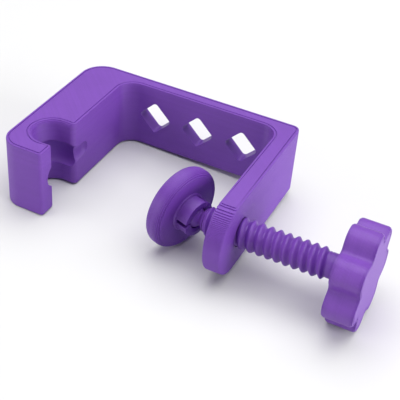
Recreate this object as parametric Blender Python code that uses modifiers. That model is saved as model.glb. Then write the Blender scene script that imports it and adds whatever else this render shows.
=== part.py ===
# Screw clamp: a one-piece C frame, a coarse screw with a lobed knob and a ball-jointed pad.
# X runs along the screw from the fixed jaw to the knob, Y points out of the spine's back,
# Z is the width of the frame. Sizes are in millimetres from the frame's outer corner, and the
# origin of the finished part lies on the fixed jaw's clamping face, midway across its width.
import math

import bmesh
import bpy
from mathutils import Matrix, Vector

MM = 0.001
ORIGIN = Vector((13.25, -18.0, 10.0))

# frame
FRAME_LENGTH = 66.5
FRAME_WIDTH = 20.0
SPINE_THICK = 4.0
JAW_THICK = 13.25
ARM_THICK = 5.0
JAW_REACH = 48.8
ARM_REACH = 50.8
OUTER_RADIUS_JAW = 7.0
OUTER_RADIUS_ARM = 2.2
INNER_RADIUS = 5.0
JAW_TIP_RADIUS = 5.5
JAW_NOSE_RADIUS = 0.9
ARM_TIP_RADIUS = 0.6
ARM_END_RADIUS = 9.4
EDGE_ROUND = 0.35

# socket in the fixed jaw, a round-bottomed slot open towards the pad
SOCKET_X = 9.7
SOCKET_Y = -38.0
SOCKET_RADIUS = 5.3
SOCKET_EDGE_ROUND = 1.2
NEAR_LIP_RADIUS = 0.9
FAR_LIP_RADIUS = 1.6
GROOVE_Z = 9.8
GROOVE_HALF_HEIGHT = 3.8
GROOVE_RADIUS = 7.6
RELIEF_Z = 9.9
RELIEF_DEPTH = 2.8
RELIEF_NEAR_Y = -42.1
RELIEF_FAR_Y = -27.9
RELIEF_FAR_RADIUS = 2.3

# lightening windows in the spine
WINDOW_COUNT = 3
WINDOW_FIRST_X = 23.0
WINDOW_STEP = 13.85
WINDOW_DIAGONAL = 9.6
WINDOW_CORNER_RADIUS = 1.0

# screw
SCREW_Y = -38.7
SCREW_Z = 10.0
PITCH = 2.4
THREAD_RADIUS = 4.15
THREAD_DEPTH = 0.9
THREAD_PHASE = 71.44
THREAD_START = 57.1
THREAD_END = 90.6
THREAD_FADE = 1.0
THREAD_CLEARANCE = 0.3
THREAD_SIDES = 28
STEPS_PER_PITCH = 6
NECK_RADIUS = 3.35
SPIGOT_RADIUS = 2.6
SPIGOT_END = 98.4
GAP = 0.3

# ball end of the screw
BALL_X = 52.9
BALL_RADIUS = 3.2
BALL_NECK_RADIUS = 1.9
TIP_END = 56.7

# knob
KNOB_BACK = 93.9
KNOB_FACE = 101.85
KNOB_LOBES = 7
KNOB_RADIUS = 12.8
LOBE_SWING = 1.4
LOBE_SHAPE = -0.3
LOBE_ANGLE = 40.2
KNOB_EDGE_ROUND = 0.9

# swivel pad, measured along its own axis from the ball centre
PAD_YAW = -16.0
PAD_PITCH = -3.4
PAD_RADIUS = 11.45
PAD_FRONT = -6.5
PAD_BACK = -1.7
PAD_ROUND = 1.9
HUB_END = 2.3
HUB_RADIUS = 5.0
CAVITY_RADIUS = 3.5
MOUTH_AT = 2.0
MOUTH_END_RADIUS = 3.6
SLOT_COUNT = 3
SLOT_WIDTH = 1.1
SLOT_FLOOR = -1.1

BALL_CENTRE = (BALL_X, SCREW_Y, SCREW_Z)


def wipe_scene():
    for ob in list(bpy.data.objects):
        bpy.data.objects.remove(ob, do_unlink=True)


def collection(name):
    col = bpy.data.collections.new(name)
    bpy.context.scene.collection.children.link(col)
    return col


def plastic(name, rgb):
    mat = bpy.data.materials.new(name)
    mat.use_nodes = True
    bsdf = mat.node_tree.nodes["Principled BSDF"]
    bsdf.inputs["Base Color"].default_value = (rgb[0], rgb[1], rgb[2], 1.0)
    bsdf.inputs["Roughness"].default_value = 0.5
    return mat


def at(point):
    # a layout point in millimetres, as a place in the finished part
    return (Vector(point) - ORIGIN) * MM


def add_object(bm, name, col, mat=None, cutter=False):
    # closes seams, turns the faces outwards and adds the mesh to its collection
    bmesh.ops.remove_doubles(bm, verts=bm.verts, dist=2e-6)
    bmesh.ops.recalc_face_normals(bm, faces=bm.faces)
    if bm.calc_volume(signed=True) < 0:
        bmesh.ops.reverse_faces(bm, faces=bm.faces)
    mesh = bpy.data.meshes.new(name)
    bm.to_mesh(mesh)
    bm.free()
    ob = bpy.data.objects.new(name, mesh)
    col.objects.link(ob)
    if mat:
        mesh.materials.append(mat)
    if cutter:
        ob.hide_render = True
        ob.display_type = "WIRE"
    return ob


def smooth(ob, angle=32.0):
    for poly in ob.data.polygons:
        poly.use_smooth = True
    ob.data.set_sharp_from_angle(angle=math.radians(angle))


def put(ob, point, turn=None):
    ob.matrix_world = Matrix.Translation(at(point)) @ (turn or Matrix.Identity(4))


def subtract(ob, cutter):
    mod = ob.modifiers.new("cut " + cutter.name, "BOOLEAN")
    mod.operation = "DIFFERENCE"
    mod.solver = "EXACT"
    mod.object = cutter


def turned(name, profile, sides, col, mat=None, cutter=False):
    # solid turned about X: profile holds (along, radius) pairs and starts and ends on the axis
    bm = bmesh.new()
    verts = [bm.verts.new((along * MM, radius * MM, 0)) for along, radius in profile]
    for one, two in zip(verts[:-1], verts[1:]):
        bm.edges.new((one, two))
    mesh = bpy.data.meshes.new(name + "_profile")
    bm.to_mesh(mesh)
    bm.free()
    lathe = bpy.data.objects.new(name + "_profile", mesh)
    col.objects.link(lathe)
    mod = lathe.modifiers.new("turn", "SCREW")
    mod.axis = "X"
    mod.angle = 2 * math.pi
    mod.steps = sides
    mod.render_steps = sides
    mod.use_merge_vertices = True
    mod.merge_threshold = 0.000002
    bpy.context.view_layer.update()
    depsgraph = bpy.context.evaluated_depsgraph_get()
    solid = bpy.data.meshes.new_from_object(lathe.evaluated_get(depsgraph))
    bpy.data.objects.remove(lathe, do_unlink=True)
    bm = bmesh.new()
    bm.from_mesh(solid)
    bpy.data.meshes.remove(solid)
    return add_object(bm, name, col, mat, cutter)


def lofted(rings):
    # skin over rings of equal length, with a flat cap on each end
    bm = bmesh.new()
    loops = [[bm.verts.new(p) for p in ring] for ring in rings]
    for one, two in zip(loops[:-1], loops[1:]):
        for k in range(len(one)):
            n = (k + 1) % len(one)
            bm.faces.new((one[k], one[n], two[n], two[k]))
    bm.faces.new(list(reversed(loops[0])))
    bm.faces.new(loops[-1])
    return bm


def arc(cx, cy, radius, start, end, steps, hollow=False):
    # points along an arc, each with the direction that leads out of the material
    points = []
    side = -1.0 if hollow else 1.0
    for k in range(steps + 1):
        a = math.radians(start + (end - start) * k / steps)
        across = math.cos(a)
        along = math.sin(a)
        points.append((cx + radius * across, cy + radius * along, across * side, along * side))
    return points


def frame_outline():
    # counter-clockwise outline: x, y, outward direction, size of the edge rounding
    outline = []

    def add(points, first=EDGE_ROUND, last=EDGE_ROUND):
        for k, p in enumerate(points):
            outline.append(p + (first + (last - first) * k / (len(points) - 1),))

    r = JAW_TIP_RADIUS
    add(arc(r, -JAW_REACH + r, r, 180, 270, 9))
    r = JAW_NOSE_RADIUS
    add(arc(JAW_THICK - r, -JAW_REACH + r, r, 270, 360, 4))
    r = NEAR_LIP_RADIUS
    lip = min(r - 0.05, SOCKET_EDGE_ROUND)
    add(arc(JAW_THICK - r, SOCKET_Y - SOCKET_RADIUS - r, r, 0, 90, 6), EDGE_ROUND, lip)
    add(arc(SOCKET_X, SOCKET_Y, SOCKET_RADIUS, 270, 180, 14, True), lip, SOCKET_EDGE_ROUND)
    add(arc(SOCKET_X, SOCKET_Y, SOCKET_RADIUS, 180, 90, 14, True)[1:], SOCKET_EDGE_ROUND, SOCKET_EDGE_ROUND)
    r = FAR_LIP_RADIUS
    add(arc(JAW_THICK - r, SOCKET_Y + SOCKET_RADIUS + r, r, -90, 0, 6), SOCKET_EDGE_ROUND, EDGE_ROUND)
    arm_x = FRAME_LENGTH - ARM_THICK
    r = INNER_RADIUS
    add(arc(JAW_THICK + r, -SPINE_THICK - r, r, 180, 90, 8, True))
    add(arc(arm_x - r, -SPINE_THICK - r, r, 90, 0, 8, True))
    r = ARM_TIP_RADIUS
    add(arc(arm_x + r, -ARM_REACH + r, r, 180, 270, 4))
    add(arc(FRAME_LENGTH - r, -ARM_REACH + r, r, 270, 360, 4))
    r = OUTER_RADIUS_ARM
    add(arc(FRAME_LENGTH - r, -r, r, 0, 90, 6))
    r = OUTER_RADIUS_JAW
    add(arc(r, -r, r, 90, 180, 10))
    return outline


def build_frame(col, cutters, mat):
    rings = []
    for top in (False, True):
        for deg in ((0, 45, 90) if top else (90, 45, 0)):
            a = math.radians(deg)
            ring = []
            for x, y, out_x, out_y, rounding in frame_outline():
                inset = rounding * (1 - math.cos(a))
                rise = rounding * (1 - math.sin(a))
                z = FRAME_WIDTH - rise if top else rise
                ring.append(at((x - out_x * inset, y - out_y * inset, z)))
            rings.append(ring)
    frame = add_object(lofted(rings), "c_frame", col, mat)
    subtract(frame, socket_groove(cutters))
    subtract(frame, mouth_relief(cutters))
    for k in range(WINDOW_COUNT):
        subtract(frame, window_cutter(cutters, k))
    for top in (False, True):
        subtract(frame, arm_end_cutter(cutters, top))
    start = FRAME_LENGTH - ARM_THICK - PITCH
    bm = thread_body(start, FRAME_LENGTH + PITCH, THREAD_CLEARANCE)
    subtract(frame, add_object(bm, "thread_cutter", cutters, cutter=True))
    smooth(frame)
    return frame


def socket_groove(cutters):
    # ring groove round the socket wall at mid height
    half = GROOVE_HALF_HEIGHT
    floor = SOCKET_RADIUS - 0.25
    profile = [(-half, 0.0)]
    for k in range(9):
        a = math.pi * k / 8
        profile.append((-half * math.cos(a), floor + (GROOVE_RADIUS - floor) * math.sin(a)))
    profile.append((half, 0.0))
    ob = turned("groove_cutter", profile, 48, cutters, cutter=True)
    put(ob, (SOCKET_X, SOCKET_Y, GROOVE_Z), Matrix.Rotation(-math.pi / 2, 4, "Y"))
    return ob


def mouth_relief(cutters):
    # tapering round-ended hollow along the jaw face where the groove runs out
    radius = GROOVE_HALF_HEIGHT
    far_radius = RELIEF_FAR_RADIUS
    length = RELIEF_FAR_Y - RELIEF_NEAR_Y
    profile = []
    for k in range(7):
        a = math.pi / 2 * k / 6
        profile.append((-radius * math.cos(a), radius * math.sin(a)))
    for k in range(7):
        a = math.pi / 2 * k / 6
        profile.append((length + far_radius * math.sin(a), far_radius * math.cos(a)))
    profile[0] = (-radius, 0.0)
    profile[-1] = (length + far_radius, 0.0)
    ob = turned("relief_cutter", profile, 32, cutters, cutter=True)
    centre_x = JAW_THICK + radius - RELIEF_DEPTH
    put(ob, (centre_x, RELIEF_NEAR_Y, RELIEF_Z), Matrix.Rotation(math.pi / 2, 4, "Z"))
    return ob


def window_cutter(cutters, index):
    # square turned on its corner, corners rounded
    r = WINDOW_CORNER_RADIUS
    reach = WINDOW_DIAGONAL / 2 - r
    ring = []
    for corner in range(4):
        mid = math.pi / 2 * corner
        for step in range(5):
            a = mid + math.radians(-45 + 90 * step / 4)
            ring.append((reach * math.cos(mid) + r * math.cos(a), reach * math.sin(mid) + r * math.sin(a)))
    centre_x = WINDOW_FIRST_X + WINDOW_STEP * index
    rings = []
    for y in (2.0, -SPINE_THICK - 2):
        rings.append([at((centre_x + x, y, FRAME_WIDTH / 2 + z)) for x, z in ring])
    return add_object(lofted(rings), "window_cutter_%d" % (index + 1), cutters, cutter=True)


def arm_end_cutter(cutters, top):
    # rounds one corner of the arm's end, seen along the screw
    r = ARM_END_RADIUS
    corner = [(-ARM_REACH - 2, -2.0), (-ARM_REACH + r, -2.0)]
    for k in range(17):
        a = math.pi / 2 * k / 16
        corner.append((-ARM_REACH + r - r * math.sin(a), r - r * math.cos(a)))
    corner.append((-ARM_REACH - 2, r))
    rings = []
    for x in (FRAME_LENGTH - ARM_THICK - 2, FRAME_LENGTH + 2):
        rings.append([at((x, y, FRAME_WIDTH - z if top else z)) for y, z in corner])
    name = "arm_end_cutter_%s" % ("top" if top else "low")
    return add_object(lofted(rings), name, cutters, cutter=True)


def thread_radius(x, angle, grow):
    # right-handed helix with round crests and tighter roots
    turn = (x - THREAD_PHASE) / PITCH - angle / (2 * math.pi)
    wave = 0.5 + 0.5 * math.cos(2 * math.pi * turn)
    return THREAD_RADIUS - THREAD_DEPTH + THREAD_DEPTH * wave ** 0.8 + grow


def ring_at(x, sides, radius_of):
    # closed ring round the screw's axis
    ring = []
    for k in range(sides):
        a = 2 * math.pi * k / sides
        r = radius_of(a)
        ring.append(at((x, SCREW_Y + r * math.cos(a), SCREW_Z + r * math.sin(a))))
    return ring


def thread_body(start, end, grow, fade=0.0, spigot=False):
    rows = max(2, round((end - start) / PITCH * STEPS_PER_PITCH))
    root = THREAD_RADIUS - THREAD_DEPTH + grow
    rings = []
    for k in range(rows + 1):
        x = start + (end - start) * k / rows
        hold = 1.0
        if fade > 0:
            hold = min(1.0, (x - start) / fade, (end - x) / fade)
            hold = hold * hold * (3 - 2 * hold)
        rings.append(ring_at(x, THREAD_SIDES, lambda a: root + (thread_radius(x, a, grow) - root) * hold))
    if spigot:
        shoulder = KNOB_BACK - GAP
        ends = [(end + 0.25, NECK_RADIUS), (shoulder, NECK_RADIUS), (shoulder + 0.001, SPIGOT_RADIUS)]
        ends += [(SPIGOT_END - 0.4, SPIGOT_RADIUS), (SPIGOT_END, SPIGOT_RADIUS - 0.4)]
        for x, radius in ends:
            rings.append(ring_at(x, THREAD_SIDES, lambda a: radius))
    return lofted(rings)


def build_screw(col, mat):
    bm = thread_body(THREAD_START, THREAD_END, 0.0, THREAD_FADE, True)
    screw = add_object(bm, "clamp_screw", col, mat)
    smooth(screw, 40)
    return screw


def build_ball_tip(col, mat):
    # ball and tapered neck, centred on the ball
    touch = math.asin(BALL_NECK_RADIUS / BALL_RADIUS)
    profile = []
    for k in range(13):
        a = math.pi - (math.pi - touch) * k / 12
        profile.append((BALL_RADIUS * math.cos(a), BALL_RADIUS * math.sin(a)))
    profile[0] = (-BALL_RADIUS, 0.0)
    profile.append((TIP_END - BALL_X - 0.4, BALL_NECK_RADIUS))
    profile.append((TIP_END - BALL_X, THREAD_RADIUS - THREAD_DEPTH))
    profile.append((TIP_END - BALL_X, 0.0))
    tip = turned("ball_tip", profile, 28, col, mat)
    smooth(tip, 40)
    return tip


def knob_radius(angle):
    a = KNOB_LOBES * (angle - math.radians(LOBE_ANGLE))
    return KNOB_RADIUS + LOBE_SWING * math.cos(a) + LOBE_SHAPE * math.cos(2 * a)


def build_knob(col, cutters, mat):
    sides = KNOB_LOBES * 12
    rings = []
    for at_face in (False, True):
        for deg in ((0, 30, 60, 90) if at_face else (90, 60, 30, 0)):
            inset = KNOB_EDGE_ROUND * (1 - math.cos(math.radians(deg)))
            rise = KNOB_EDGE_ROUND * (1 - math.sin(math.radians(deg)))
            x = KNOB_FACE - rise if at_face else KNOB_BACK + rise
            rings.append(ring_at(x, sides, lambda a: knob_radius(a) - inset))
    knob = add_object(lofted(rings), "knob", col, mat)
    bore = SPIGOT_RADIUS + GAP
    depth = SPIGOT_END + GAP - KNOB_BACK
    profile = [(-1.0, 0.0), (-1.0, bore), (depth, bore), (depth, 0.0)]
    cutter = turned("knob_bore_cutter", profile, 28, cutters, cutter=True)
    put(cutter, (KNOB_BACK, SCREW_Y, SCREW_Z))
    subtract(knob, cutter)
    smooth(knob)
    return knob


def pad_profile():
    # disc with a rounded rim, and a hub with a ball-shaped hollow
    profile = [(PAD_FRONT, 0.0)]
    for k in range(6):
        a = math.pi / 2 * k / 5
        radius = PAD_RADIUS - PAD_ROUND * (1 - math.sin(a))
        profile.append((PAD_FRONT + PAD_ROUND * (1 - math.cos(a)), radius))
    for k in range(6):
        a = math.pi / 2 * k / 5
        radius = PAD_RADIUS - PAD_ROUND * (1 - math.cos(a))
        profile.append((PAD_BACK - PAD_ROUND * (1 - math.sin(a)), radius))
    profile += [(PAD_BACK, HUB_RADIUS + 0.6), (PAD_BACK + 0.5, HUB_RADIUS)]
    profile += [(HUB_END - 0.5, HUB_RADIUS), (HUB_END, HUB_RADIUS - 0.5), (HUB_END, MOUTH_END_RADIUS)]
    half = math.asin(MOUTH_AT / CAVITY_RADIUS)
    for k in range(11):
        a = half + (-math.pi / 2 - half) * k / 10
        profile.append((CAVITY_RADIUS * math.sin(a), CAVITY_RADIUS * math.cos(a)))
    profile[-1] = (-CAVITY_RADIUS, 0.0)
    return profile


def build_pad(col, cutters, mat):
    pad = turned("swivel_pad", pad_profile(), 40, col, mat)
    smooth(pad)
    lean = tilt_rotation()
    put(pad, BALL_CENTRE, lean)
    for k in range(SLOT_COUNT):
        bm = bmesh.new()
        bmesh.ops.create_cube(bm, size=1.0)
        length = HUB_RADIUS + 1.5
        size = Matrix.Diagonal((HUB_END - SLOT_FLOOR + 1, length, SLOT_WIDTH, 1))
        slide = Matrix.Translation(((HUB_END + SLOT_FLOOR + 1) / 2, length / 2 + 1.0, 0))
        spin = Matrix.Rotation(math.pi + 2 * math.pi / SLOT_COUNT * k, 4, "X")
        bm.transform(Matrix.Scale(MM, 4) @ spin @ slide @ size)
        slot = add_object(bm, "slot_cutter_%d" % (k + 1), cutters, cutter=True)
        put(slot, BALL_CENTRE, lean)
        subtract(pad, slot)
    return pad


def tilt_rotation():
    # leans the pad's axis away from the screw's axis about one line through the ball centre
    yaw = math.radians(PAD_YAW)
    pitch = math.radians(PAD_PITCH)
    aim = Vector((math.cos(yaw) * math.cos(pitch), math.sin(yaw) * math.cos(pitch), math.sin(pitch)))
    ahead = Vector((1, 0, 0))
    return Matrix.Rotation(ahead.angle(aim), 4, ahead.cross(aim).normalized())


def move_origin(ob, point):
    # keeps the mesh where it is and puts the object's own origin on its joint axis
    here = at(point)
    ob.data.transform(Matrix.Translation(-here))
    ob.matrix_world = Matrix.Translation(here)


def main():
    wipe_scene()
    parts = collection("screw_clamp")
    cutters = collection("cutters")
    build_frame(parts, cutters, plastic("frame_purple", (0.20, 0.07, 0.48)))
    screw = build_screw(parts, plastic("screw_purple", (0.19, 0.06, 0.46)))
    tip = build_ball_tip(parts, plastic("tip_purple", (0.17, 0.06, 0.42)))
    knob = build_knob(parts, cutters, plastic("knob_purple", (0.24, 0.09, 0.52)))
    build_pad(parts, cutters, plastic("pad_purple", (0.18, 0.06, 0.44)))
    put(tip, BALL_CENTRE)
    move_origin(screw, BALL_CENTRE)
    move_origin(knob, (KNOB_BACK, SCREW_Y, SCREW_Z))
    print("pieces:", ", ".join(ob.name for ob in parts.objects))


main()
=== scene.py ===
import math
import bmesh
import bpy
from mathutils import Matrix, Vector


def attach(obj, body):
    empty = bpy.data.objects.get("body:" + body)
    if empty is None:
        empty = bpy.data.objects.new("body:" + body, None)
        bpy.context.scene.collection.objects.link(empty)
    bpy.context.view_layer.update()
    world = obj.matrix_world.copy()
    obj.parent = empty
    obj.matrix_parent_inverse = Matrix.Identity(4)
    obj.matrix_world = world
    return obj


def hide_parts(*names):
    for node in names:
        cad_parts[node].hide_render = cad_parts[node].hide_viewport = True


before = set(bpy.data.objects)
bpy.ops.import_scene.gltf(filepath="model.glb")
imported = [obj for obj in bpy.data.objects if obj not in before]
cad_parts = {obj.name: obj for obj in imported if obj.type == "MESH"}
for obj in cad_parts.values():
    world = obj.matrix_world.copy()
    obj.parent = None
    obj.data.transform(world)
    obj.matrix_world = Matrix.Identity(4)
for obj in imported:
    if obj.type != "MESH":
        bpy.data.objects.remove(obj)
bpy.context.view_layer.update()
scene = bpy.context.scene
print("clamp loaded with", len(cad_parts), "nodes")

mm = 0.001
mergeGap = 1.5e-6  # in metres, well under any edge of the meshes
layerHeight = 0.303  # of every print, in mm
origin = Vector((13.25, -18, 10))  # where the object's origin lies when its outer corner is at 0, 0, 0
ballCentre = Vector((52.9, -38.7, 10))  # the screw's axis runs through it along X
screwAxis = Vector((0, ballCentre.y - origin.y, ballCentre.z - origin.z)) * mm


def place(x, y, z):
    return (Vector((x, y, z)) - origin) * mm


# mesh helpers
def meshObject(bm, name):
    bmesh.ops.remove_doubles(bm, verts=bm.verts, dist=mergeGap)
    bmesh.ops.dissolve_degenerate(bm, edges=bm.edges, dist=mergeGap / 15)
    bmesh.ops.recalc_face_normals(bm, faces=bm.faces)
    if bm.calc_volume(signed=True) < 0:
        bmesh.ops.reverse_faces(bm, faces=bm.faces)
    mesh = bpy.data.meshes.new(name)
    bm.to_mesh(mesh)
    bm.free()
    obj = bpy.data.objects.new(name, mesh)
    scene.collection.objects.link(obj)
    return obj


def skinRings(rings):
    bm = bmesh.new()
    loops = [[bm.verts.new(p) for p in ring] for ring in rings]
    for low, high in zip(loops[:-1], loops[1:]):
        for k in range(len(low)):
            n = (k + 1) % len(low)
            bm.faces.new((low[k], low[n], high[n], high[k]))
    bm.faces.new(list(reversed(loops[0])))
    bm.faces.new(loops[-1])
    return bm


def turnProfile(profile, sides, name):
    # profile of (along, radius) in mm, turned round X; it starts and ends on the axis
    bm = bmesh.new()
    line = [bm.verts.new((along * mm, radius * mm, 0)) for along, radius in profile]
    edges = [bm.edges.new(pair) for pair in zip(line[:-1], line[1:])]
    bmesh.ops.spin(bm, geom=line + edges, cent=(0, 0, 0), axis=(1, 0, 0), angle=2 * math.pi, steps=sides)
    return meshObject(bm, name)


def bakeShape(obj):
    bpy.context.view_layer.update()
    graph = bpy.context.evaluated_depsgraph_get()
    mesh = bpy.data.meshes.new_from_object(obj.evaluated_get(graph))
    obj.modifiers.clear()
    obj.data = mesh
    mesh.name = obj.name
    return obj


def cutAway(obj, cutter):
    mod = obj.modifiers.new("cut", "BOOLEAN")
    mod.operation = "DIFFERENCE"
    mod.solver = "EXACT"
    mod.object = cutter
    bakeShape(obj)
    bpy.data.objects.remove(cutter, do_unlink=True)


def finishPiece(obj, body, node, angle=23):
    material = obj.data.materials[-1]  # the cuts leave an empty slot before it
    obj.data.materials.clear()
    obj.data.materials.append(material)
    for poly in obj.data.polygons:
        poly.use_smooth = True
        poly.material_index = 0
    obj.data.set_sharp_from_angle(angle=math.radians(angle))
    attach(obj, body)
    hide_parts(node)
    print("piece", obj.name, len(obj.data.polygons), "faces")


# node tree helpers
def addNode(tree, kind, inputs=None, **settings):
    node = tree.nodes.new(kind)
    for key, value in settings.items():
        setattr(node, key, value)
    for key, value in (inputs or {}).items():
        socket = node.inputs[key]
        if isinstance(value, bpy.types.NodeSocket):
            tree.links.new(value, socket)
        else:
            socket.default_value = value
    return node


def calc(tree, operation, *values, clamp=False):
    node = addNode(tree, "ShaderNodeMath", dict(enumerate(values)), operation=operation, use_clamp=clamp)
    return node.outputs[0]


def newShapeTree(name, sizes):
    tree = bpy.data.node_groups.new(name, "GeometryNodeTree")
    tree.interface.new_socket(name="Geometry", in_out="INPUT", socket_type="NodeSocketGeometry")
    for key, value in sizes.items():
        kind = "NodeSocketInt" if isinstance(value, int) else "NodeSocketFloat"
        tree.interface.new_socket(name=key, in_out="INPUT", socket_type=kind)
    tree.interface.new_socket(name="Material", in_out="INPUT", socket_type="NodeSocketMaterial")
    tree.interface.new_socket(name="Geometry", in_out="OUTPUT", socket_type="NodeSocketGeometry")
    return tree, addNode(tree, "NodeGroupInput").outputs


def closeTree(tree, start, geometry):
    real = addNode(tree, "GeometryNodeRealizeInstances", {"Geometry": geometry})
    paint = addNode(tree, "GeometryNodeSetMaterial", {
        "Geometry": real.outputs[0], "Material": start["Material"]})
    addNode(tree, "NodeGroupOutput", {0: paint.outputs[0]})


def runTree(obj, tree, sizes, material):
    mod = obj.modifiers.new(tree.name, "NODES")
    mod.node_group = tree
    values = dict(sizes, Material=material)
    for item in tree.interface.items_tree:
        if item.in_out == "INPUT" and item.name in values:
            mod[item.identifier] = values[item.name]
    return bakeShape(obj)


# printed plastic
plasticLook = {
    "layer": layerHeight,
    "roadWidth": 0.48,  # width of one line of plastic on the flat skins
    "layerRelief": 0.024,
    "skinRelief": 0.018,
    "grainRelief": 0.012,
    "flatFrom": 0.93,  # how squarely a face looks along the layers before it counts as a flat skin
    "toneByLayer": 0.05,
    "blotch": 0.06,
    # how much painted shade darkens the colour in the grooves between layers
    "grooveShade": 0.06,
    "darkest": 0.72,
    "lightest": 1.28,
}


def printedPlastic(name, colour, roughness, turn=(0, 0, 0), roadAngle=45, layerShift=0.0):
    # layers stack along the Z of the turned coordinates
    look = plasticLook
    mat = bpy.data.materials.new(name)
    mat.use_nodes = True
    tree = mat.node_tree
    tree.nodes.clear()
    coords = addNode(tree, "ShaderNodeTexCoord")
    here = addNode(tree, "ShaderNodeMapping", {"Vector": coords.outputs["Object"], "Rotation": turn,
                                               "Scale": (1000, 1000, 1000)}).outputs[0]
    facing = addNode(tree, "ShaderNodeMapping", {"Vector": coords.outputs["Normal"], "Rotation": turn},
                     vector_type="NORMAL").outputs[0]
    parts = addNode(tree, "ShaderNodeSeparateXYZ", {0: here}).outputs
    lifted = calc(tree, "ADD", parts["Z"], 100 * look["layer"] + layerShift)
    level = calc(tree, "DIVIDE", lifted, look["layer"])
    layerIndex = calc(tree, "FLOOR", level)
    within = calc(tree, "FRACT", level)
    bead = calc(tree, "POWER", calc(tree, "ABSOLUTE", calc(tree, "MULTIPLY_ADD", within, 2.0, -1.0)), 3.0)
    wobble = addNode(tree, "ShaderNodeTexNoise", {"Vector": here, "Scale": 0.35, "Detail": 3.0}).outputs[0]
    beadHeight = calc(tree, "MULTIPLY", bead, calc(tree, "MULTIPLY_ADD", wobble, 1.2, 0.4))
    flat = calc(tree, "ABSOLUTE", addNode(tree, "ShaderNodeSeparateXYZ", {0: facing}).outputs["Z"])
    squarely = calc(tree, "SUBTRACT", flat, look["flatFrom"], clamp=True)
    onSkin = calc(tree, "MULTIPLY", squarely, 20.0, clamp=True)
    # roads of plastic laid side by side on the flat skins
    turned = math.radians(roadAngle)
    across = calc(tree, "ADD", calc(tree, "MULTIPLY", parts["X"], math.cos(turned)),
                  calc(tree, "MULTIPLY", parts["Y"], math.sin(turned)))
    roadLevel = calc(tree, "DIVIDE", calc(tree, "ADD", across, 500.0), look["roadWidth"])
    road = calc(tree, "FRACT", roadLevel)
    roadIndex = calc(tree, "FLOOR", roadLevel)
    groove = calc(tree, "POWER", calc(tree, "ABSOLUTE", calc(tree, "MULTIPLY_ADD", road, 2.0, -1.0)), 4.0)
    walls = calc(tree, "MULTIPLY", calc(tree, "MULTIPLY", beadHeight, calc(tree, "SUBTRACT", 1.0, onSkin)),
                 -look["layerRelief"])
    skins = calc(tree, "MULTIPLY", calc(tree, "MULTIPLY", groove, onSkin), -look["skinRelief"])
    grain = addNode(tree, "ShaderNodeTexNoise", {"Vector": here, "Scale": 6.0, "Detail": 2.0}).outputs[0]
    fine = calc(tree, "MULTIPLY", grain, look["grainRelief"])
    height = calc(tree, "ADD", calc(tree, "ADD", walls, skins), fine)
    bump = addNode(tree, "ShaderNodeBump", {"Height": height, "Strength": 1.0, "Distance": mm})
    # tone: each layer and road differs a little, over slow blotches; painted shade darkens the grooves
    # between layers
    layerTone, roadTone = [
        addNode(tree, "ShaderNodeTexWhiteNoise", {"W": index}, noise_dimensions="1D").outputs["Value"]
        for index in (layerIndex, roadIndex)]
    lineTone = addNode(tree, "ShaderNodeMix", {0: onSkin, 2: layerTone, 3: roadTone}).outputs[0]
    blotch = addNode(tree, "ShaderNodeTexNoise", {"Vector": here, "Scale": 0.09, "Detail": 4.0}).outputs[0]
    tone = calc(tree, "ADD", calc(tree, "MULTIPLY", lineTone, look["toneByLayer"]),
                calc(tree, "MULTIPLY", blotch, look["blotch"] * 2))
    tone = calc(tree, "SUBTRACT", tone, look["toneByLayer"] / 2 + look["blotch"])
    # painted shade: the colour is darkened in the grooves between layers, by the bead's height
    shade = calc(tree, "SUBTRACT", tone, calc(tree, "MULTIPLY", beadHeight, look["grooveShade"]))
    paint = addNode(tree, "ShaderNodeValToRGB", {0: calc(tree, "ADD", shade, 0.5)})
    ramp = paint.color_ramp
    ramp.elements[0].position = 0.25
    ramp.elements[1].position = 0.75
    ramp.elements[0].color = tuple(c * look["darkest"] for c in colour) + (1,)
    ramp.elements[1].color = tuple(min(1.0, c * look["lightest"]) for c in colour) + (1,)
    satin = calc(tree, "ADD", calc(tree, "MULTIPLY", grain, 0.10), roughness - 0.05)
    shader = addNode(tree, "ShaderNodeBsdfPrincipled", {
        "Base Color": paint.outputs[0], "Roughness": satin, "Normal": bump.outputs[0],
        "IOR": 1.46, "Specular IOR Level": 0.5})
    addNode(tree, "ShaderNodeOutputMaterial", {"Surface": shader.outputs[0]})
    return mat


# C frame
frameSizes = {
    "length": 66.5, "width": 20.0, "spine": 4.0, "jaw": 13.25, "arm": 5.0,
    "jawReach": 48.8, "armReach": 50.8, "armEnd": 9.4, "armTip": 0.6,
    "outerJaw": 7.0, "outerArm": 2.2, "inner": 5.0, "jawTip": 5.5, "jawNose": 0.9,
    "edge": 0.35, "socketEdge": 1.2, "socketX": 9.7, "socketY": -38.0, "socket": 5.3,
    "nearLip": 0.9, "farLip": 1.6, "layers": 66, "bead": 0.028, "skinLine": 0.27,
    "clearance": 0.3,
}
grooveSizes = {"z": 9.8, "half": 3.8, "radius": 7.6}
reliefSizes = {"z": 9.9, "depth": 2.8, "near": -42.1, "far": -27.9, "farRadius": 2.3}
windowSizes = {
    "Count": 3, "First": 9.75 * mm, "Step": 13.85 * mm, "Diagonal": 9.6 * mm, "Corner": 1.0 * mm,
    "Back": 20.0 * mm, "Depth": 8.0 * mm,
}


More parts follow.
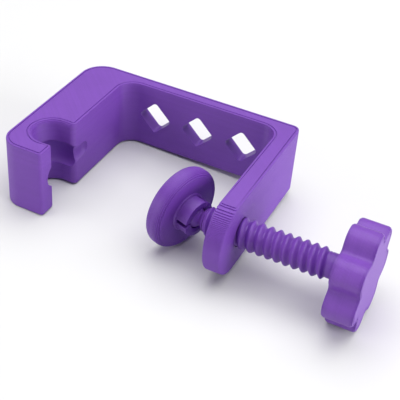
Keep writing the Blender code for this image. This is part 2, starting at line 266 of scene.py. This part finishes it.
def outlineOf(s):
    # x, y, outward x and y, edge rounding, room to step inwards, whether it is the arm's end
    points = []

    def sweep(cx, cy, radius, start, end, steps, first, last, hollow=False, tip=False):
        for k in range(steps + 1):
            a = math.radians(start + (end - start) * k / steps)
            side = -1 if hollow else 1
            rounding = first + (last - first) * k / steps
            room = 50.0 if hollow else max(radius - 0.03, 0.02)
            points.append((cx + radius * math.cos(a), cy + radius * math.sin(a), side * math.cos(a),
                           side * math.sin(a), rounding, room, tip))

    e, se = s["edge"], s["socketEdge"]
    r = s["jawTip"]
    sweep(r, r - s["jawReach"], r, 180, 270, 16, e, e)
    r = s["jawNose"]
    sweep(s["jaw"] - r, r - s["jawReach"], r, 270, 360, 6, e, e)
    r = s["nearLip"]
    sweep(s["jaw"] - r, s["socketY"] - s["socket"] - r, r, 0, 90, 8, e, r - 0.05)
    sweep(s["socketX"], s["socketY"], s["socket"], 270, 180, 22, r - 0.05, se, True)
    sweep(s["socketX"], s["socketY"], s["socket"], 180, 90, 22, se, se, True)
    r = s["farLip"]
    sweep(s["jaw"] - r, s["socketY"] + s["socket"] + r, r, -90, 0, 8, se, e)
    r = s["inner"]
    armX = s["length"] - s["arm"]
    sweep(s["jaw"] + r, -s["spine"] - r, r, 180, 90, 14, e, e, True)
    sweep(armX - r, -s["spine"] - r, r, 90, 0, 14, e, e, True)
    r = s["armTip"]
    sweep(armX + r, r - s["armReach"], r, 180, 270, 4, e, e, tip=True)
    sweep(s["length"] - r, r - s["armReach"], r, 270, 360, 4, e, e, tip=True)
    r = s["outerArm"]
    sweep(s["length"] - r, -r, r, 0, 90, 8, e, e)
    r = s["outerJaw"]
    sweep(r, -r, r, 90, 180, 16, e, e)
    return points


def frameRing(points, s, z, depth, inwards):
    # depth is how far the layer lies below the nearer flat face, inwards how far the wall steps in
    ring = []
    for x, y, outX, outY, rounding, room, tip in points:
        inset = 0.0
        if depth < rounding:
            inset = rounding - math.sqrt(max(0.0, rounding ** 2 - (rounding - depth) ** 2))
        inset = min(inset + inwards, room)
        shift = Vector((outX, outY)) * inset
        if tip:
            r = s["armEnd"]
            drop = max(0.0, r - depth)
            y += r - math.sqrt(max(0.0, r * r - drop * drop))
            shift = Vector((outX * min(inset, s["armTip"] * 0.9), -inwards))
        ring.append(place(x - shift.x, y - shift.y, z))
    return ring


def buildFrame(material):
    s = frameSizes
    points = outlineOf(s)
    height = s["width"] / s["layers"]
    middle = height / 2
    skin = [(0.87, 0.0), (0.78, s["skinLine"]), (0.54, s["skinLine"]), (0.44, 0.0)]
    rings = [frameRing(points, s, sink, middle, inwards) for inwards, sink in skin]
    rings.append(frameRing(points, s, 0.0, middle, 0.06))
    for k in range(s["layers"]):
        low = k * height
        depth = min(low + middle, s["width"] - low - middle)
        start = 0.06 if k == 0 else s["bead"]
        end = 0.06 if k == s["layers"] - 1 else s["bead"]
        for share, inwards in ((0.0, start), (0.25, 0.0), (0.75, 0.0), (1.0, end)):
            rings.append(frameRing(points, s, low + height * share, depth, inwards))
    for inwards, sink in reversed(skin):
        rings.append(frameRing(points, s, s["width"] - sink, middle, inwards))
    body = meshObject(skinRings(rings), "clampFrame")
    print("frame laid up in", s["layers"], "layers")

    g = grooveSizes
    start = s["socket"] - 0.25
    profile = [(-g["half"], 0)]
    for k in range(17):
        a = math.pi * k / 16
        profile.append((-g["half"] * math.cos(a), start + (g["radius"] - start) * math.sin(a)))
    profile.append((g["half"], 0))
    groove = turnProfile(profile, 96, "grooveCutter")
    groove.data.transform(Matrix.Translation(place(s["socketX"], s["socketY"], g["z"]))
                          @ Matrix.Rotation(-math.pi / 2, 4, "Y"))
    cutAway(body, groove)

    g, radius = reliefSizes, grooveSizes["half"]
    profile = [(g["near"] - radius * math.cos(math.pi / 2 * k / 12), radius * math.sin(math.pi / 2 * k / 12))
               for k in range(13)]
    small = g["farRadius"]
    profile += [(g["far"] + small * math.sin(math.pi / 2 * k / 12), small * math.cos(math.pi / 2 * k / 12))
                for k in range(13)]
    profile[0] = (profile[0][0], 0)
    profile[-1] = (profile[-1][0], 0)
    relief = turnProfile(profile, 64, "reliefCutter")
    relief.data.transform(Matrix.Translation(place(s["jaw"] + radius - g["depth"], 0, g["z"]))
                          @ Matrix.Rotation(math.pi / 2, 4, "Z"))
    cutAway(body, relief)

    past = 2.4
    inner, outer = s["length"] - s["arm"] - past, s["length"] + past
    hole = buildShaft("holeCutter", inner, outer, s["clearance"], False, material)
    cutAway(body, hole)
    print("frame sockets cut")

    sizes = windowSizes
    tree, start = newShapeTree("spineWindows", sizes)
    straight = calc(tree, "SUBTRACT", calc(tree, "MULTIPLY", start["Diagonal"], 0.5), start["Corner"])
    side = calc(tree, "ADD", calc(tree, "MULTIPLY", straight, math.sqrt(2)),
                calc(tree, "MULTIPLY", start["Corner"], 2.0))
    square = addNode(tree, "GeometryNodeCurvePrimitiveQuadrilateral", {"Width": side, "Height": side})
    soft = addNode(tree, "GeometryNodeFilletCurve", {
        "Curve": square.outputs[0], "Count": 6, "Radius": start["Corner"]}, mode="POLY")
    spun = addNode(tree, "GeometryNodeTransform", {
        "Geometry": soft.outputs[0], "Rotation": (0, 0, math.pi / 4)})
    far = addNode(tree, "ShaderNodeCombineXYZ", {"Y": start["Back"]})
    near = addNode(tree, "ShaderNodeCombineXYZ", {"Y": calc(tree, "SUBTRACT", start["Back"], start["Depth"])})
    run = addNode(tree, "GeometryNodeCurvePrimitiveLine", {"Start": near.outputs[0], "End": far.outputs[0]})
    prism = addNode(tree, "GeometryNodeCurveToMesh", {
        "Curve": run.outputs[0], "Profile Curve": spun.outputs[0], "Fill Caps": True})
    row = addNode(tree, "GeometryNodeMeshLine", {
        "Count": start["Count"],
        "Start Location": addNode(tree, "ShaderNodeCombineXYZ", {"X": start["First"]}).outputs[0],
        "Offset": addNode(tree, "ShaderNodeCombineXYZ", {"X": start["Step"]}).outputs[0]})
    many = addNode(tree, "GeometryNodeInstanceOnPoints", {
        "Points": row.outputs[0], "Instance": prism.outputs[0]})
    solid = addNode(tree, "GeometryNodeRealizeInstances", {"Geometry": many.outputs[0]})
    cut = addNode(tree, "GeometryNodeMeshBoolean", {"Mesh 1": start["Geometry"], "Mesh 2": solid.outputs[0]},
                  operation="DIFFERENCE", solver="EXACT")
    closeTree(tree, start, cut.outputs["Mesh"])
    runTree(body, tree, sizes, material)
    print("spine windows cut")
    return body


# screw
screwSizes = {
    "root": 3.25, "sides": 72, "rowsPerMm": 7.0, "start": 57.1, "end": 90.6,
    "neck": 3.35, "shoulder": 93.6, "spigot": 2.6, "spigotEnd": 98.4,
}
threadSizes = {
    "Pitch": 2.4 * mm, "Depth": 0.9 * mm, "Fade": 1.0 * mm, "Roundness": 0.8,
    "Crest": (71.44 - origin.x) * mm,
    "Start": (screwSizes["start"] - origin.x) * mm,
    "End": (screwSizes["end"] - origin.x) * mm,
}


def buildThreadTree():
    # lifts a plain shaft along X into a right-handed helix
    tree, start = newShapeTree("roundThread", threadSizes)
    spot = addNode(tree, "GeometryNodeInputPosition").outputs[0]
    x, y, z = addNode(tree, "ShaderNodeSeparateXYZ", {0: spot}).outputs[:3]
    angle = calc(tree, "ARCTAN2", z, y)
    pitches = calc(tree, "DIVIDE", calc(tree, "SUBTRACT", x, start["Crest"]), start["Pitch"])
    turns = calc(tree, "SUBTRACT", pitches, calc(tree, "DIVIDE", angle, 2 * math.pi))
    swing = calc(tree, "COSINE", calc(tree, "MULTIPLY", turns, 2 * math.pi))
    wave = calc(tree, "MULTIPLY_ADD", swing, 0.5, 0.5)
    lift = calc(tree, "MULTIPLY", calc(tree, "POWER", wave, start["Roundness"]), start["Depth"])
    rise = calc(tree, "DIVIDE", calc(tree, "SUBTRACT", x, start["Start"]), start["Fade"])
    fall = calc(tree, "DIVIDE", calc(tree, "SUBTRACT", start["End"], x), start["Fade"])
    hold = calc(tree, "MINIMUM", rise, fall, clamp=True)
    eased = calc(tree, "MULTIPLY", calc(tree, "MULTIPLY", hold, hold),
                 calc(tree, "MULTIPLY_ADD", hold, -2.0, 3.0))
    outwards = addNode(tree, "ShaderNodeVectorMath", {0: addNode(tree, "ShaderNodeCombineXYZ", {
        "Y": y, "Z": z}).outputs[0]}, operation="NORMALIZE").outputs[0]
    step = addNode(tree, "ShaderNodeVectorMath", {0: outwards}, operation="SCALE")
    tree.links.new(calc(tree, "MULTIPLY", lift, eased), step.inputs["Scale"])
    moved = addNode(tree, "GeometryNodeSetPosition", {
        "Geometry": start["Geometry"], "Offset": step.outputs[0]})
    closeTree(tree, start, moved.outputs[0])
    return tree


threadTree = buildThreadTree()


def buildShaft(name, low, high, grow, whole, material):
    s = screwSizes
    rows = max(8, round((high - low) * s["rowsPerMm"]))
    stations = [(low + (high - low) * k / rows, s["root"] + grow) for k in range(rows + 1)]
    sizes = dict(threadSizes)
    if whole:
        stations += [(s["end"] + 0.25, s["neck"]), (s["shoulder"] - 0.15, s["neck"]),
                     (s["shoulder"], s["neck"] - 0.15), (s["shoulder"], s["spigot"]),
                     (s["spigotEnd"] - 0.4, s["spigot"]), (s["spigotEnd"], s["spigot"] - 0.4)]
    else:
        past = 5  # a cutter's thread never fades out
        sizes.update(Start=(low - origin.x - past) * mm, End=(high - origin.x + past) * mm)
    rings = []
    for x, radius in stations:
        ring = []
        for k in range(s["sides"]):
            a = 2 * math.pi * k / s["sides"]
            ring.append(((x - origin.x) * mm, radius * math.cos(a) * mm, radius * math.sin(a) * mm))
        rings.append(ring)
    shaft = meshObject(skinRings(rings), name)
    runTree(shaft, threadTree, sizes, material)
    shaft.data.transform(Matrix.Translation(screwAxis))
    return shaft


# ball end
ballSizes = {
    "radius": 3.2, "touch": 1.9, "collar": 2.5, "collarAt": 3.3, "end": 4.05, "root": 3.25, "sides": 64,
}


def buildBall(material):
    s = ballSizes
    touch = math.asin(s["touch"] / s["radius"])
    profile = []
    for k in range(29):
        a = math.pi - (math.pi - touch) * k / 28
        profile.append((s["radius"] * math.cos(a), s["radius"] * math.sin(a)))
    profile[0] = (-s["radius"], 0)
    profile += [(s["collarAt"] - 0.2, s["touch"] + 0.25), (s["collarAt"], s["collar"]),
                (s["end"] - 0.3, s["root"] - 0.2), (s["end"], s["root"]), (s["end"], 0)]
    ball = turnProfile(profile, s["sides"], "ballEnd")
    ball.data.transform(Matrix.Translation(place(*ballCentre)))
    ball.data.materials.append(material)
    return ball


# lobed knob
knobSizes = {
    "back": 93.9, "face": 101.85, "layers": 26, "radius": 12.8, "edge": 0.9, "bore": 2.9, "boreEnd": 98.7,
    "sidesPerLobe": 24, "bead": 0.024, "skinLine": 0.20,
}
lobeSizes = {
    "Lobes": 7, "Swing": 1.4 * mm, "Shape": -0.3 * mm, "Turn": math.radians(40.2), "Radius": 12.8 * mm,
}


def knobRow(s, x, depth, inwards):
    edge = s["edge"]
    inset = edge - math.sqrt(max(0.0, edge ** 2 - (edge - depth) ** 2)) if depth < edge else 0.0
    return (x, s["radius"] - inset - inwards)


def buildKnob(material):
    s = knobSizes
    height = (s["face"] - s["back"]) / s["layers"]
    skin = [(3.4, 0.0), (1.4, 0.0), (1.29, s["skinLine"] * 0.4), (1.18, 0.0),
            (0.88, 0.0), (0.78, s["skinLine"]), (0.56, s["skinLine"]), (0.46, 0.0)]
    rows = [(s["boreEnd"], 0.0), (s["boreEnd"], s["bore"]), (s["back"], s["bore"])]
    rows += [knobRow(s, s["back"] + sink, height / 2, inwards) for inwards, sink in skin]
    for k in range(s["layers"]):
        low = s["back"] + height * k
        depth = min(low - s["back"], s["face"] - low - height) + height / 2
        for share, inwards in ((0.0, s["bead"]), (0.25, 0.0), (0.75, 0.0), (1.0, s["bead"])):
            rows.append(knobRow(s, low + height * share, depth, inwards))
    rows += [knobRow(s, s["face"] - sink, height / 2, inwards) for inwards, sink in reversed(skin)]
    rows.append((s["face"], 0.0))
    sides = lobeSizes["Lobes"] * s["sidesPerLobe"]
    knob = turnProfile([(x - origin.x, r) for x, r in rows], sides, "starKnob")

    tree, start = newShapeTree("knobLobes", lobeSizes)
    spot = addNode(tree, "GeometryNodeInputPosition").outputs[0]
    x, y, z = addNode(tree, "ShaderNodeSeparateXYZ", {0: spot}).outputs[:3]
    turns = calc(tree, "MULTIPLY", calc(tree, "SUBTRACT", calc(tree, "ARCTAN2", z, y), start["Turn"]),
                 start["Lobes"])
    swing = calc(tree, "MULTIPLY", calc(tree, "COSINE", turns), start["Swing"])
    shape = calc(tree, "MULTIPLY", calc(tree, "COSINE", calc(tree, "MULTIPLY", turns, 2.0)), start["Shape"])
    flatSpot = addNode(tree, "ShaderNodeCombineXYZ", {"Y": y, "Z": z}).outputs[0]
    reach = addNode(tree, "ShaderNodeVectorMath", {0: flatSpot}, operation="LENGTH").outputs["Value"]
    share = calc(tree, "DIVIDE", reach, start["Radius"])
    hold = calc(tree, "MULTIPLY", calc(tree, "SUBTRACT", share, 0.35), 3.0, clamp=True)
    outwards = addNode(tree, "ShaderNodeVectorMath", {0: flatSpot}, operation="NORMALIZE").outputs[0]
    step = addNode(tree, "ShaderNodeVectorMath", {0: outwards}, operation="SCALE")
    tree.links.new(calc(tree, "MULTIPLY", calc(tree, "ADD", swing, shape), hold), step.inputs["Scale"])
    moved = addNode(tree, "GeometryNodeSetPosition", {
        "Geometry": start["Geometry"], "Offset": step.outputs[0]})
    closeTree(tree, start, moved.outputs[0])
    runTree(knob, tree, lobeSizes, material)
    knob.data.transform(Matrix.Translation(screwAxis))
    return knob


# swivel pad
padSizes = {
    "yaw": -16.0, "pitch": -3.4, "radius": 11.45, "front": -6.5, "back": -1.7, "round": 1.9,
    "hub": 5.0, "hubEnd": 2.3, "cavity": 3.5, "mouthAt": 2.0, "mouth": 3.6, "sides": 120,
    "bead": 0.034, "skinLine": 0.03, "layers": 16, "hubLayers": 13,
}
slotSizes = {
    "Count": 3, "Width": 1.1 * mm, "Floor": -1.1 * mm, "Top": 3.3 * mm, "Inner": 1.0 * mm, "Outer": 7.5 * mm,
}


def padLean():
    yaw, pitch = math.radians(padSizes["yaw"]), math.radians(padSizes["pitch"])
    aim = Vector((math.cos(yaw) * math.cos(pitch), math.sin(yaw) * math.cos(pitch), math.sin(pitch)))
    ahead = Vector((1, 0, 0))
    return Matrix.Rotation(ahead.angle(aim), 4, ahead.cross(aim).normalized())


def buildPad(material):
    s = padSizes
    height = (s["back"] - s["front"]) / s["layers"]

    def rimAt(depth):
        r = s["round"]
        return s["radius"] - (r - math.sqrt(max(0.0, r * r - (r - depth) ** 2)) if depth < r else 0.0)

    skinRadius = rimAt(height / 2)
    skin = [(0.93, 0.0), (0.84, s["skinLine"]), (0.75, 0.0), (0.50, 0.0), (0.41, s["skinLine"]), (0.32, 0.0)]
    profile = [(s["front"], 0.0)]
    profile += [(s["front"] + sink, skinRadius - inwards) for inwards, sink in skin]
    for k in range(s["layers"]):
        low = s["front"] + height * k
        radius = rimAt(min(low - s["front"], s["back"] - low - height) + height / 2)
        for share, inwards in ((0.0, s["bead"]), (0.25, 0.0), (0.75, 0.0), (1.0, s["bead"])):
            profile.append((low + height * share, radius - inwards))
    profile += [(s["back"] - sink, skinRadius - inwards) for inwards, sink in reversed(skin)]
    profile.append((s["back"], s["hub"] + 0.5))
    profile.append((s["back"] + 0.35, s["hub"] + 0.12))
    low = s["back"] + 0.35
    step = (s["hubEnd"] - low) / s["hubLayers"]
    for k in range(s["hubLayers"]):
        base = low + step * k
        chamfer = 0.3 if k == s["hubLayers"] - 1 else 0.0
        for share, inwards in ((0.0, s["bead"]), (0.25, 0.0), (0.75, 0.0), (1.0, s["bead"] + chamfer)):
            profile.append((base + step * share, s["hub"] - inwards))
    profile.append((s["hubEnd"], s["mouth"] + 0.1))
    profile.append((s["hubEnd"] - 0.1, s["mouth"]))
    half = math.asin(s["mouthAt"] / s["cavity"])
    for k in range(25):
        a = half + (-math.pi / 2 - half) * k / 24
        profile.append((s["cavity"] * math.sin(a), s["cavity"] * math.cos(a)))
    profile[-1] = (-s["cavity"], 0.0)
    pad = turnProfile(profile, s["sides"], "swivelPad")

    tree, start = newShapeTree("hubSlots", slotSizes)
    tall = calc(tree, "SUBTRACT", start["Top"], start["Floor"])
    long = calc(tree, "SUBTRACT", start["Outer"], start["Inner"])
    size = addNode(tree, "ShaderNodeCombineXYZ", {"X": tall, "Y": long, "Z": start["Width"]})
    box = addNode(tree, "GeometryNodeMeshCube", {"Size": size.outputs[0]})
    middle = addNode(tree, "ShaderNodeCombineXYZ", {
        "X": calc(tree, "MULTIPLY", calc(tree, "ADD", start["Top"], start["Floor"]), 0.5),
        "Y": calc(tree, "MULTIPLY", calc(tree, "ADD", start["Outer"], start["Inner"]), 0.5)})
    arm = addNode(tree, "GeometryNodeTransform", {
        "Geometry": box.outputs[0], "Translation": middle.outputs[0]})
    spots = addNode(tree, "GeometryNodePoints", {"Count": start["Count"]})
    index = addNode(tree, "GeometryNodeInputIndex").outputs[0]
    turn = calc(tree, "ADD", calc(tree, "MULTIPLY", calc(tree, "DIVIDE", index, start["Count"]), 2 * math.pi),
                math.pi)
    spin = addNode(tree, "ShaderNodeCombineXYZ", {"X": turn})
    many = addNode(tree, "GeometryNodeInstanceOnPoints", {
        "Points": spots.outputs[0], "Instance": arm.outputs[0], "Rotation": spin.outputs[0]})
    solid = addNode(tree, "GeometryNodeRealizeInstances", {"Geometry": many.outputs[0]})
    cut = addNode(tree, "GeometryNodeMeshBoolean", {"Mesh 1": start["Geometry"], "Mesh 2": solid.outputs[0]},
                  operation="DIFFERENCE", solver="EXACT")
    closeTree(tree, start, cut.outputs["Mesh"])
    runTree(pad, tree, slotSizes, material)
    pad.data.transform(Matrix.Translation(place(*ballCentre)) @ padLean())
    return pad


# put the clamp together
colours = {
    "frame": (0.170, 0.052, 0.395), "screw": (0.158, 0.047, 0.372),
    "knob": (0.170, 0.053, 0.388), "pad": (0.150, 0.044, 0.358),
}
alongScrew = (0, -math.pi / 2, 0)  # brings X upright
padTurn = tuple((Matrix.Rotation(-math.pi / 2, 4, "Y") @ padLean().inverted()).to_euler())

# the last value brings the first layer to the face the print stood on
knobShift = origin.x - knobSizes["back"]
framePlastic = printedPlastic("framePlastic", colours["frame"], 0.46, layerShift=origin.z)
screwPlastic = printedPlastic("screwPlastic", colours["screw"], 0.42, alongScrew)
knobPlastic = printedPlastic("knobPlastic", colours["knob"], 0.44, alongScrew, 20, knobShift)
padAim = padLean() @ Vector((1, 0, 0))
padShift = -padSizes["front"] - (place(*ballCentre) / mm).dot(padAim)
padPlastic = printedPlastic("padPlastic", colours["pad"], 0.42, padTurn, 60, padShift)

clampFrame = buildFrame(framePlastic)
finishPiece(clampFrame, "frame", "c_frame")
threadedScrew = buildShaft("threadedScrew", screwSizes["start"], screwSizes["end"], 0.0, True, screwPlastic)
finishPiece(threadedScrew, "screw", "clamp_screw", 50)
ballEnd = buildBall(screwPlastic)
finishPiece(ballEnd, "carriage", "ball_tip", 50)
starKnob = buildKnob(knobPlastic)
finishPiece(starKnob, "screw", "knob")
swivelPad = buildPad(padPlastic)
finishPiece(swivelPad, "pad", "swivel_pad")

# floor, light and camera
stageLook = {"floor": (0.68, 0.68, 0.685), "world": 0.25}


def restingPlane(nodes):
    # the hull face below the middle, which is what the clamp lies on
    bm = bmesh.new()
    for obj in nodes:
        for v in obj.data.vertices:
            bm.verts.new(v.co)
    hull = bmesh.ops.convex_hull(bm, input=bm.verts)
    middle = sum((v.co for v in bm.verts), Vector()) / len(bm.verts)
    best = None
    for face in hull["geom"]:
        if isinstance(face, bmesh.types.BMFace) and face.is_valid:
            normal = face.normal if face.normal.z > 0 else -face.normal
            if face.calc_center_median().z < middle.z and normal.z > 0.9:
                if best is None or face.calc_area() > best[2]:
                    best = (face.calc_center_median().copy(), normal.copy(), face.calc_area())
    bm.free()
    return best[0], best[1]


spot, upwards = restingPlane(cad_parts.values())
bpy.ops.mesh.primitive_plane_add(size=6)
floor = bpy.context.object
floor.name = "studioFloor"
floor.matrix_world = Matrix.Translation(spot) @ upwards.to_track_quat("Z", "Y").to_matrix().to_4x4()
floorPaint = bpy.data.materials.new("palePaper")
floorPaint.use_nodes = True
floorShader = floorPaint.node_tree.nodes["Principled BSDF"]
floorShader.inputs["Base Color"].default_value = stageLook["floor"] + (1,)
floorShader.inputs["Roughness"].default_value = 0.9
floor.data.materials.append(floorPaint)

world = bpy.data.worlds.new("studioAir")
world.use_nodes = True
world.node_tree.nodes["Background"].inputs[0].default_value = (1, 1, 1, 1)
world.node_tree.nodes["Background"].inputs[1].default_value = stageLook["world"]
scene.world = world

lamps = {
    "overheadSoft": {"at": (0.05, 0.10, 0.62), "size": 0.85, "watts": 6.3},
    "rightSoft": {"at": (0.75, -0.02, 0.14), "size": 0.45, "watts": 5.0},
    "leftFill": {"at": (-0.62, -0.55, 0.24), "size": 0.50, "watts": 3.0},
}
aim = Vector((0.035, -0.01, 0))
for name, lamp in lamps.items():
    light = bpy.data.lights.new(name, "AREA")
    light.energy = lamp["watts"]
    light.size = lamp["size"]
    holder = bpy.data.objects.new(name, light)
    scene.collection.objects.link(holder)
    holder.location = lamp["at"]
    holder.rotation_euler = (aim - holder.location).to_track_quat("-Z", "Y").to_euler()

cameraLook = {"at": (0.11870, -0.19918, 0.15575), "round": 23.42, "above": 37.68, "roll": 4.93, "lens": 87.02}
around, above = math.radians(cameraLook["round"]), math.radians(cameraLook["above"])
back = Vector((math.sin(around) * math.cos(above), -math.cos(around) * math.cos(above), math.sin(above)))
right = Vector((math.cos(around), math.sin(around), 0))
view = Matrix((right, back.cross(right), back)).transposed().to_4x4()
view = view @ Matrix.Rotation(math.radians(cameraLook["roll"]), 4, "Z")
lens = bpy.data.cameras.new("studioCamera")
lens.lens = cameraLook["lens"]
lens.sensor_width = 36
camera = bpy.data.objects.new("studioCamera", lens)
scene.collection.objects.link(camera)
camera.matrix_world = Matrix.Translation(cameraLook["at"]) @ view
scene.camera = camera
scene.view_settings.view_transform = "Standard"
print("stage, light and camera set")
